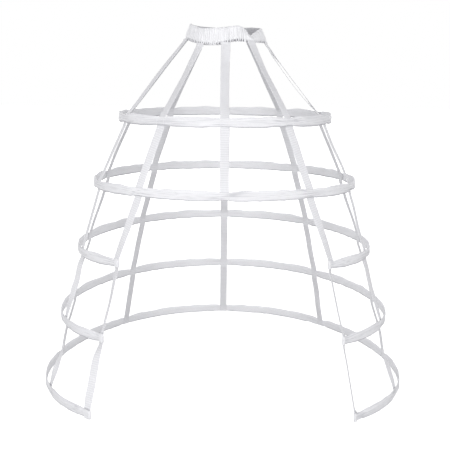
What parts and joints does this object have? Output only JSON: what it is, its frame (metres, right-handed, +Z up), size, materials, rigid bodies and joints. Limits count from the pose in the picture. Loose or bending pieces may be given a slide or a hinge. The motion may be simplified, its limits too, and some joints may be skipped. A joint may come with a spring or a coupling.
{
  "type": "crinoline cage",
  "caption": "White open-front crinoline cage: flat cased hoops of growing width hung on woven tapes from a gathered elastic waistband, to hold a skirt out in a bell.",
  "frame": {"origin": "middle of the footprint at the level of the hem", "axes": "+Z up from the hem to the waist, +X to the cage's left as worn, -Y out of the open front"},
  "size_m": [0.8544, 0.7798, 0.822],
  "materials": {
    "tape": "matte white ribbed woven tape",
    "hoop_casing": "matte white cotton, softly creased lengthwise",
    "waistband": "matte white cotton, gathered",
    "elastic": "white woven elastic",
    "hoop_steel": "white coat on spring steel"
  },
  "bodies": {
    "root": {"back_centre_tape": "tape", "back_left_tape": "tape", "back_right_tape": "tape", "front_centre_tape": "tape", "front_edge_left_tape": "tape", "front_edge_right_tape": "tape", "hoop_1_bone": "hoop_steel", "hoop_1_casing": "hoop_casing", "hoop_2_bone": "hoop_steel", "hoop_2_casing": "hoop_casing", "hoop_3_bone": "hoop_steel", "hoop_3_casing": "hoop_casing", "hoop_4_bone": "hoop_steel", "hoop_4_casing": "hoop_casing", "hoop_5_bone": "hoop_steel", "hoop_5_casing": "hoop_casing", "side_back_left_tape": "tape", "side_back_right_tape": "tape", "side_front_left_tape": "tape", "side_front_right_tape": "tape", "waist_elastic": "elastic", "waistband_casing": "waistband"}
  },
  "joints": []
}
